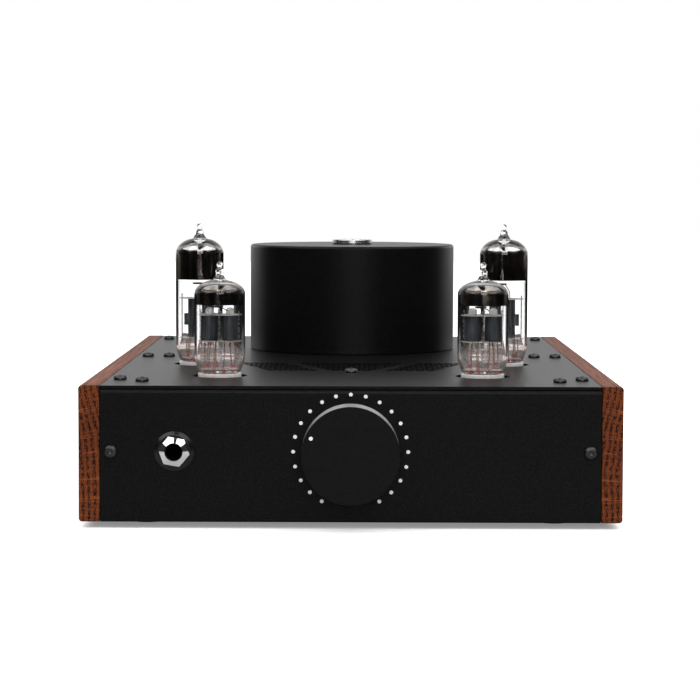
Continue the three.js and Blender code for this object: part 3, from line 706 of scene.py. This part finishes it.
def cut(bm, *tools):
    """The mesh with the tools' space taken out of it."""
    objects = []
    for part in (bm, together(*tools)):
        mesh = bpy.data.meshes.new("cut")
        part.to_mesh(mesh)
        part.free()
        objects.append(linked("cut", mesh))
    body, tool = objects
    modifier = body.modifiers.new("cut", "BOOLEAN")
    modifier.operation, modifier.object, modifier.solver = "DIFFERENCE", tool, "EXACT"
    result = bmesh.new()
    result.from_object(body, bpy.context.evaluated_depsgraph_get())
    for used in objects:
        mesh = used.data
        bpy.data.objects.remove(used)
        bpy.data.meshes.remove(mesh)
    return result


def piece(name, bm, slot, body="case", at=(0, 0, 0), facing=UP, replaces=(), sharp=32):
    """Brings a shape in millimetres to its place, and makes it a piece that rides on a body."""
    bm.transform(Matrix.Translation(at) @ facing @ Matrix.Scale(MM, 4))
    mesh = bpy.data.meshes.new(name)
    bm.to_mesh(mesh)
    bm.free()
    for polygon in mesh.polygons:
        polygon.use_smooth = True
    mesh.set_sharp_from_angle(angle=math.radians(sharp))
    mesh.materials.append(MATERIALS[slot])
    made = linked(name, mesh)
    made.modifiers.new("flat_faces_stay_flat", "WEIGHTED_NORMAL").keep_sharp = True
    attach(made, body)
    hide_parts(*replaces)


def keep(node, slot, ease_mm=0.0):
    """A CAD node that stays, with its finish and, if asked, eased edges."""
    target = NODES[node]
    target.data.materials.clear()
    target.data.materials.append(MATERIALS[slot])
    if ease_mm:
        bevel = target.modifiers.new("ease", "BEVEL")
        bevel.width = ease_mm * MM
        bevel.segments = 2
        bevel.limit_method = "ANGLE"
        bevel.angle_limit = math.radians(50)


# ---------- case

PANEL_HOLES = (  # what passes through each, and its radius
    ("headphone_jack", 4.95),
    ("volume_control", 4.15),
    ("front_screw_left", 1.7),
    ("front_screw_right", 1.7),
)


def make_front_panel():
    """The sheet's upper front edge is rounded, and its holes are cut through."""
    low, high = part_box("front_panel")
    width, depth, height = ((b - a) / MM for a, b in zip(low, high))
    section = rounded([(0, 0, 0.4), (0, height, 1.6), (depth, height, 0.4), (depth, 0, 0.3)], closed=True)
    panel = extruded([Vector((v, -u)) for u, v in section], 0, width, 0.12)
    panel.transform(Matrix.Rotation(math.radians(90), 4, "Y") @ Matrix.Rotation(math.pi, 4, "Z"))
    panel.transform(Matrix.Translation((-width / 2, 0, 0)))
    bmesh.ops.recalc_face_normals(panel, faces=panel.faces)
    centre = Vector((middle("front_panel").x, FRONT_Y, low.z))
    holes = []
    for node, radius in PANEL_HOLES:
        place = (middle(node) - centre) / MM
        hole = turned([(0, -9), (radius, -9), (radius, 9), (0, 9)], 48)
        hole.transform(Matrix.Translation((place.x, 0, place.z)) @ FORWARD)
        holes.append(hole)
    piece("front_panel_sheet", cut(panel, *holes), "black_paint", at=centre, replaces=["front_panel"])


def make_oak_sides():
    for side, sign in SIDES:
        node = f"{side}_side_panel"
        low, high = (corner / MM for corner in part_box(node))
        outer, inner = (high.x, low.x) if sign > 0 else (low.x, high.x)
        corners = [(inner, low.z, 0.3), (outer, low.z, 1.3), (outer, high.z, 1.5), (inner, high.z, 0.35)]
        outline = [Vector((u, -v)) for u, v in rounded(corners, closed=True)]
        board = extruded(outline, low.y, high.y, 0.45)
        piece(f"{side}_oak_side", board, "oak", facing=BACKWARD, replaces=[node])


def screw(shank, head, height, length, across, sides=48):
    """A button-head screw that stands on z = 0, with a hexagon socket. Shank and head are radii."""
    flat, brim, steps = head * 0.52, 0.15, 8
    rings = [circle_ring(radius, level, sides)
             for radius, level in ((0, -length), (shank, -length), (shank, 0), (head - 0.12, 0))]
    for k in range(steps + 1):
        angle = math.pi / 2 * k / steps
        radius = flat + (head - flat) * math.cos(angle)
        rings.append(circle_ring(radius, brim + (height - brim) * math.sin(angle), sides))
    rings += [
        hexagon_ring(across + 0.16, height, sides),
        hexagon_ring(across, height - 0.1, sides),
        hexagon_ring(across, height * 0.2, sides),
        circle_ring(0, 0.1, sides),
    ]
    return lofted(rings)


def make_screws():
    size = {"shank": 1.45, "head": 2.75, "height": 1.65, "across": 2.0}
    names = [n for n in NODES if n.startswith(("lid_screw", "board_screw", "front_screw"))]
    turns = random.Random(4)
    for name in sorted(names):
        low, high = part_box(name)
        at = middle(name)
        front = name.startswith("front")
        shape = moved(screw(**size, length=7 if front else 6), turn=turns.uniform(0, 1))
        if front:
            at.y = low.y + size["height"] * MM
        else:
            at.z = high.z - size["height"] * MM
        piece(f"{name}_steel", shape, "black_steel", at=at, facing=FORWARD if front else UP, replaces=[name])


def make_feet():
    for name in sorted(n for n in NODES if n.startswith("foot_")):
        width, _, height = size_mm(name)
        at = middle(name)
        at.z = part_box(name)[0].z
        radius = width / 2
        sole = [(0, 0.3), (radius - 2.6, 0.3), (radius - 2.2, 0), (radius - 0.9, 0, 0.5)]
        foot = turned([*sole, (radius, height), (0, height)], 64)
        piece(f"{name}_rubber", foot, "rubber", at=at, replaces=[name])


DOTS = 21
DOT_STEP = 15.0
DOT_RING = 22.7
DOT_RADIUS = 0.75
PRINT = 0.03


def printed_dot(radius, angle, ring, level=0.0):
    """A dot of print that stands off a ring's middle, its angle taken from straight up."""
    dot = turned([(0, 0), (radius, 0), (radius - PRINT, PRINT), (0, PRINT)], 32)
    return moved(dot, (ring * math.sin(angle), ring * math.cos(angle), level))


def make_dial():
    """The ring of dots round the knob, printed on the panel."""
    centre = middle("volume_knob")
    centre.y = FRONT_Y
    angles = [math.radians(DOT_STEP * (i - (DOTS - 1) / 2)) for i in range(DOTS)]
    dots = [printed_dot(DOT_RADIUS, angle, DOT_RING) for angle in angles]
    piece("dial_dots", together(*dots), "white_print", at=centre, facing=FORWARD)


def make_case():
    make_front_panel()
    make_oak_sides()
    make_screws()
    make_feet()
    make_dial()
    keep("top_plate", "black_paint", 0.15)
    keep("base_tray", "black_paint", 0.2)
    keep("rear_panel", "black_paint", 0.2)
    for side, _ in SIDES:
        keep(f"{side}_side_frame", "zinc_steel", 0.2)


# ---------- transformer


def make_transformer():
    width, _, height = size_mm("transformer_cover")
    at = middle("transformer_cover")
    at.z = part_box("transformer_cover")[0].z
    radius, wall, bore = width / 2, 1.2, 2.9
    cover = [
        (radius - wall, 0), (radius - 0.3, 0), (radius, 0.5), (radius, height, 1.4), (bore, height),
        (bore, height - wall), (radius - wall, height - wall, 1.0),
    ]
    can = turned(cover, 192, closed=True)
    piece("transformer_can", can, "black_paint", at=at, replaces=["transformer_cover"])

    at.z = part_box("transformer_washer")[0].z
    width, _, rim = size_mm("transformer_washer")
    edge = width / 2
    dish = turned([
        (bore, 0), (edge, 0, 0.5), (edge, rim, 0.35),
        (edge - 1.2, rim, 0.35), (edge - 2.9, 0.9, 0.8), (bore, 0.9),
    ], closed=True)
    piece("transformer_dish", dish, "stainless_steel", at=at, replaces=["transformer_washer"])

    low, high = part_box("transformer_bolt")
    head = 1.1
    at.z = high.z - head * MM
    length = (at.z - low.z) / MM
    bolt = screw(shank=2.5, head=4.75, height=head, length=length, across=3.2, sides=72)
    piece("transformer_bolt_steel", bolt, "stainless_steel", at=at, replaces=["transformer_bolt"])
    keep("transformer_core", "copper_winding")


# ---------- valves

# Millimetres, with heights above the lid. The pins' spread and first are degrees.
BULB = {"radius": 10.55, "wall": 0.95, "foot": 8.4, "flare": 5.2, "floor": 1.5}
CLEAR_CROWN = 6.6
PIN = {"circle": 5.95, "radius": 0.51, "length": 7.0, "count": 9, "spread": 36, "first": 108}
LEAD_RADIUS = 0.26
MICA_TEETH = 12
MICA_FLAT = 6.4
SHORT = {
    "shoulder": 34.9, "neck": 40.6, "tip": 47.4, "crown": 39.4, "film": 29.6, "micas": (14.5, 25.4),
    "getter": 28.6, "strip": 11.3,
}
TALL = {
    "shoulder": 49.5, "neck": 56.6, "tip": 62.1, "crown": 54.4, "film": 37.5, "micas": (11.7, 29.2),
    "getter": 35.6, "strip": 8.2,
}


def valve_piece(name, part, shape, slot, at, node="mount"):
    """A piece that rides on its valve, in the place of one of its two CAD nodes."""
    piece(f"valve_{name}_{part}", shape, slot, f"valve_{name}", at, replaces=[f"valve_{name}_{node}"])


def pin_angles():
    return [math.radians(PIN["first"] + PIN["spread"] * i) for i in range(PIN["count"])]


def arch(radius, low, high, start, end):
    """Points of an ellipse about the axis, by angle above its level."""
    steps = 14
    turns = [math.radians(start + (end - start) * k / steps) for k in range(steps + 1)]
    return [Vector((radius * math.cos(a), low + (high - low) * math.sin(a))) for a in turns]


def bulb_outside(kind, lift):
    """From the middle of the foot, up the side and over the dome to the tip."""
    radius, neck, tip = BULB["radius"], kind["neck"], kind["tip"]
    foot = [
        (0, lift),
        (BULB["foot"], lift, 0.7),
        (BULB["foot"] + 0.9, lift + 1.9, 0.6),
        (radius - 0.35, lift + BULB["flare"] - 0.6, 1.6),
        (radius, lift + BULB["flare"] + 1.6, 2.0),
        (radius, kind["shoulder"] - 0.8),
    ]
    dome = arch(radius, kind["shoulder"] - 0.8, neck - 0.6, 0, 74)[1:]
    flute = smoothed([
        dome[-1], (2.35, neck - 0.15), (1.75, neck + 0.75), (1.55, neck + 1.6),
        (1.72, tip - 4.1), (1.3, tip - 3.1), (0.92, tip - 2.45), (1.12, tip - 1.75),
        (1.18, tip - 1.05), (0.8, tip - 0.3), (0, tip),
    ], 4)
    return rounded(foot) + dome + [Vector((max(p[0], 0.0), p[1])) for p in flute[1:]]


def bulb_inside(kind, lift, inset=0.0):
    """From the crown of the hollow, down the wall and over the button that carries the pins."""
    radius = BULB["radius"] - BULB["wall"] - inset
    floor = lift + BULB["floor"]
    dome = arch(radius, kind["shoulder"] + 0.2, kind["crown"] - inset, 90, 0)
    foot = rounded([
        (radius, lift + BULB["flare"] + 1.8),
        (radius - 0.35, lift + BULB["flare"] - 0.4, 1.2),
        (radius - 1.25, floor + 1.1, 0.9),
        (radius - 2.3, floor, 0.8),
        (0, floor),
    ])
    return [Vector((0, kind["crown"] - inset))] + dome[1:] + foot


def make_glass(name, kind, at, lift):
    profile = bulb_outside(kind, lift) + bulb_inside(kind, lift)
    shell = lofted([circle_ring(p.x, p.y, 96) for p in profile], closed=True)
    valve_piece(name, "bulb", shell, "valve_glass", at, "glass")


def make_film(name, kind, at, lift):
    """The mirror below the crown, a thin skin in contact with the glass."""

    def skin(inset):
        points = [p for p in bulb_inside(kind, lift, inset) if p.y > kind["film"] and p.x > CLEAR_CROWN]
        return points + [Vector((points[-1].x, kind["film"]))]

    profile = skin(-0.05) + skin(0.1)[::-1]
    shell = lofted([circle_ring(p.x, p.y, 96) for p in profile], closed=True)
    valve_piece(name, "mirror", shell, "getter_mirror", at)


def toothed_ring(radius, height):
    """A mica's outline: a circle with two flats, and small points that touch the glass."""

    def reach(angle):
        tooth = 0.45 * max(0.0, math.cos(angle * MICA_TEETH)) ** 6
        return min(radius + tooth, MICA_FLAT / max(abs(math.sin(angle)), TINY))

    return ring_of(reach, height, 96)


def mica(height):
    levels = ((8.75, height - 0.12), (8.85, height), (8.75, height + 0.12))
    return lofted([toothed_ring(radius, level) for radius, level in levels])


def mirrored_outline(quarter):
    right = quarter + [(-u, v) for u, v in reversed(quarter[:-1])]
    return [Vector(p) for p in right + [(u, -v) for u, v in reversed(right)]]


def pentode_anode(low, high):
    """One flat tube with ribs, a flange down each side and a cooling fin on each flange."""
    outline = mirrored_outline([
        (5.2, 0.25), (4.5, 0.25), (4.3, 1.5), (3.4, 2.3), (2.6, 2.3),
        (2.4, 1.9), (1.5, 1.9), (1.3, 2.5), (0, 2.6),
    ])
    fins = [block((1.7, 0.4, 5.2), (sign * 6.1, 0, 19.8), 0.08) for _, sign in SIDES]
    return [extruded(outline, low, high, 0.1), *fins]


def triode_anodes(low, high):
    """Two tubes side by side, each with a rib down its front and its back."""
    outline = mirrored_outline([
        (3.5, 0.3), (3.5, 1.4), (3.1, 2.5), (2.3, 3.2), (1.5, 3.5), (0.9, 3.6), (0.75, 3.95), (0, 4.0),
    ])
    return [moved(extruded(outline, low, high, 0.1), (sign * 4.25, 0, 0)) for _, sign in SIDES]


def make_pins_and_leads(name, kind, at, lift):
    scatter = random.Random(name)
    low = kind["micas"][0]
    floor = lift + BULB["floor"]
    foot, neck = lift - PIN["length"], lift - 0.05
    rim, seal = floor - 0.9, floor + 1.3
    pin = [(0, foot), (0.3, foot, 0.1), (PIN["radius"], foot + 0.5), (PIN["radius"], neck), (0, neck)]
    bead = [(0, rim), (0.6, rim), (0.6, floor + 0.2, 0.15), (0.36, seal, 0.3), (0, floor + 1.5)]
    pins, beads, leads = [], [], []
    for angle in pin_angles():
        spot = on_circle(PIN["circle"], angle, 0)
        pins.append(moved(turned(pin, 20), spot))
        beads.append(moved(turned(bead, 16), spot))
        bend, reach = scatter.uniform(-0.16, 0.16), PIN["circle"] + scatter.uniform(-0.5, 0.8)
        path = [
            on_circle(PIN["circle"], angle, seal),
            on_circle(reach, angle + bend * 0.4, seal + (low - seal) * 0.45),
            on_circle(reach - scatter.uniform(0.1, 0.9), angle + bend, low + 0.5),
        ]
        leads.append(wire(smoothed(path), LEAD_RADIUS))
    valve_piece(name, "pins", together(*pins), "nickel_wire", at)
    valve_piece(name, "seals", together(*beads), "red_bead", at)
    valve_piece(name, "leads", together(*leads), "copper_wire", at)


def make_rods(name, kind, at):
    """Support rods through both micas, and the slanted strip that joins two leads below them."""
    scatter = random.Random(name + "rods")
    low, high = kind["micas"]
    inner = [(-1.2, 2.9), (1.2, 2.9), (-1.2, -2.9), (1.2, -2.9)] if kind is TALL else [(0, -3.9), (0, 3.9)]
    rods = []
    for u, v in [(-7.9, 0), (7.9, 0), *inner]:
        rods.append(wire([(u, v, low - 1.8), (u, v, high + scatter.uniform(1.0, 2.2))], LEAD_RADIUS))
    strip = block((6.4, 0.5, 0.8), (0.3, -5.4, kind["strip"]), 0.08)
    strip.transform(Matrix.Rotation(math.radians(-7), 4, "Y"))
    valve_piece(name, "rods", together(*rods, strip), "nickel_wire", at)


def make_insulators(name, kind, at):
    """White ceramic sleeves of the heaters, on top of the upper mica and in the lower one."""
    low, high = kind["micas"]
    spots, tall = ((-4.25, 4.25), 2.9) if kind is SHORT else ((0,), 1.7)
    base, top = high + 0.2, high + tall
    upper = [(0, base), (1.75, base), (1.75, top - 0.8, 0.5), (0.9, top, 0.4), (0, top)]
    lower = [(0, low - 1.3), (1.1, low - 1.3, 0.3), (1.3, low - 0.25), (0, low - 0.25)]
    sleeves = []
    for u in spots:
        sleeves += [moved(turned(upper, 40), (u, 0, 0)), moved(turned(lower, 32), (u, 0, 0))]
    valve_piece(name, "insulators", together(*sleeves), "white_ceramic", at)


def make_getter(name, kind, at):
    top, high = kind["getter"], kind["micas"][1]
    base = top - 0.35
    cup = [(0, base), (2.1, base), (2.6, top + 0.25), (2.3, top + 0.3), (1.9, top - 0.05), (0, top - 0.05)]
    stalk = wire(smoothed([(2.9, 1.5, high + 0.2), (2.6, 1.4, (high + top) / 2), (0.9, 1.0, base)]), 0.2)
    whole = together(moved(turned(cup, 48), (-0.9, 1.0, 0)), stalk)
    valve_piece(name, "getter", whole, "electrode_metal", at)


def make_mount(name, kind, at, lift):
    """What the glass holds."""
    low, high = kind["micas"]
    make_pins_and_leads(name, kind, at, lift)
    valve_piece(name, "micas", together(mica(low), mica(high)), "mica", at)
    anodes = (pentode_anode if kind is TALL else triode_anodes)(low + 0.3, high - 0.3)
    valve_piece(name, "anodes", together(*anodes), "electrode_metal", at)
    make_rods(name, kind, at)
    make_insulators(name, kind, at)
    make_getter(name, kind, at)


def make_socket(name, at):
    """A glazed ceramic noval socket with a gold contact in each of its holes."""
    node = f"valve_{name}_socket"
    bottom, top = ((corner.z - LID_TOP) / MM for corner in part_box(node))
    body = turned([
        (0, bottom), (10.4, bottom, 0.4), (10.4, bottom + 3.4, 0.4), (9.05, bottom + 3.4), (9.05, top, 0.45),
        (7.7, top, 0.15), (7.5, top - 0.25, 0.15), (1.6, top - 0.25), (1.3, top - 1.5), (0, top - 1.5),
    ])
    hole = [(0, top - 7.6), (0.85, top - 7.6), (0.85, top + 1), (0, top + 1)]
    sleeve = [(0.56, top - 7.4), (0.82, top - 7.4), (0.82, top - 0.7), (0.62, top - 0.55), (0.56, top - 0.9)]
    spots = [on_circle(PIN["circle"], angle, 0) for angle in pin_angles()]
    holes = [moved(turned(hole, 24), spot) for spot in spots]
    contacts = [moved(turned(sleeve, 24, closed=True), spot) for spot in spots]
    piece(f"{node}_ceramic", cut(body, *holes), "white_ceramic", at=at, replaces=[node])
    piece(f"{node}_contacts", together(*contacts), "gold_plate", at=at)


def make_valves():
    for end, kind in (("front", SHORT), ("rear", TALL)):
        for side, _ in SIDES:
            name = f"{end}_{side}"
            at = middle(f"valve_{name}_socket")
            at.z = LID_TOP
            lift = (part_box(f"valve_{name}_glass")[0].z - LID_TOP) / MM
            make_glass(name, kind, at, lift)
            make_film(name, kind, at, lift)
            make_mount(name, kind, at, lift)
            make_socket(name, at)


# ---------- front controls

POINTER_RING = 16.9
POINTER_ANGLE = -66.2
POINTER_RADIUS = 0.8


def make_volume():
    low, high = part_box("volume_knob")
    centre = middle("volume_knob")
    centre.y = FRONT_Y
    radius = (high.x - low.x) / MM / 2
    face, clear = (FRONT_Y - low.y) / MM, (FRONT_Y - high.y) / MM
    knob = turned([
        (0, face), (radius - 0.2, face, 0.1), (radius, face - 0.2, 0.1), (radius, clear + 0.4),
        (radius - 0.4, clear), (8.5, clear), (8.5, 4.2), (3.15, 4.2), (3.15, 11.3), (0, 11.3),
    ], 256)
    piece("volume_knob_metal", knob, "black_anodised", "volume_rotor", centre, FORWARD, ["volume_knob"])
    dot = printed_dot(POINTER_RADIUS, math.radians(POINTER_ANGLE), POINTER_RING, face - 0.01)
    piece("volume_pointer", dot, "white_print", "volume_rotor", centre, FORWARD)
    for node in ("volume_shaft", "volume_control", "volume_nut"):
        keep(node, "zinc_steel", 0.1)


def domed_nut(across, back, low, face, bore):
    """A hexagon nut whose face falls away from its bore as a cone."""
    sides, slope, thread = 96, 0.58, 4.9
    flats = hexagon_ring(across, 0, sides)
    rings = [circle_ring(thread, back, sides), [Vector((p.x, p.y, back)) for p in flats]]
    for share in (1.0, 0.985, 0.8, 0.6, 0.4, 0.2, 0.0):
        ring = []
        for p in flats:
            reach = bore + (p.length - bore) * share
            level = face - slope * (reach - bore) - (0.1 if share == 1.0 else 0.0)
            ring.append(p.normalized() * reach + Vector((0, 0, max(level, low))))
        rings.append(ring)
    inside = ((bore - 0.06, face - 0.1), (bore - 0.08, low - 0.4), (thread, low - 0.4))
    return lofted(rings + [circle_ring(radius, level, sides) for radius, level in inside], closed=True)


def make_jack():
    centre = middle("headphone_jack")
    centre.y = FRONT_Y
    nut = moved(domed_nut(across=11.0, back=1.7, low=2.1, face=3.9, bore=3.6), turn=math.radians(20))
    piece("jack_nut_chrome", nut, "chrome", at=centre, facing=FORWARD, replaces=["jack_nut"], sharp=28)
    bezel = [(4.9, 0.1), (7.95, 0.1, 0.1), (7.95, 0.6, 0.35), (6.5, 1.4, 0.7), (4.9, 1.4)]
    piece("jack_bezel_ring", turned(bezel, closed=True), "black_plastic", at=centre, facing=FORWARD,
          replaces=["jack_bezel"])
    way_in = ((0, -24), (3.3, -24), (3.3, 3.0), (3.48, 3.0), (3.48, 2.2), (4.7, 2.2), (4.7, -3.1))
    rings = [circle_ring(radius, level, 96) for radius, level in way_in]
    rings += [box_ring(15.6, 16, -3.1, 96), box_ring(15.6, 16, -26, 96), circle_ring(0, -26, 96)]
    piece("jack_body", lofted(rings), "black_plastic", at=centre, facing=FORWARD, replaces=["headphone_jack"])


# ---------- back and inside


def make_signal_sockets():
    shell = [(3.3, 2.5), (5.6, 2.5, 0.2), (5.6, 3.4, 0.3)]
    shell += [(4.15, 3.7), (4.15, 10.45, 0.3), (3.3, 10.45, 0.2)]
    core = [(1.7, 2.5), (3.25, 2.5), (3.25, 9.7, 0.2), (1.9, 9.7, 0.2), (1.7, 9.3)]
    for node in ("input_sockets", "output_sockets"):
        centre = middle(node)
        centre.y = BACK_Y
        plate = block((15, 35, 2.3), (0, 0, 1.25), 0.4)
        piece(f"{node}_plate", plate, "black_plastic", at=centre, facing=BACKWARD, replaces=[node])
        shells = []
        for level, up, color in (("lower", 9, "red_bead"), ("upper", -9, "white_ceramic")):
            shells.append(moved(turned(shell, 72, closed=True), (0, up, 0)))
            inside = moved(turned(core, 48, closed=True), (0, up, 0))
            piece(f"{node}_{level}_core", inside, color, at=centre, facing=BACKWARD)
        piece(f"{node}_shells", together(*shells), "gold_plate", at=centre, facing=BACKWARD)


def make_back():
    make_signal_sockets()
    keep("mains_inlet", "black_plastic", 0.25)
    keep("fuse_drawer", "black_plastic", 0.25)
    keep("switch_frame", "black_plastic", 0.3)
    keep("switch_rocker", "black_plastic", 0.35)


def make_inside():
    keep("main_board", "circuit_board")
    keep("power_board", "circuit_board")
    for kind in ("filter", "output"):
        for side, _ in SIDES:
            keep(f"{kind}_capacitor_{side}", "capacitor_sleeve", 0.6)


make_camera()
make_studio()
make_case()
make_transformer()
make_valves()
make_volume()
make_jack()
make_back()
make_inside()
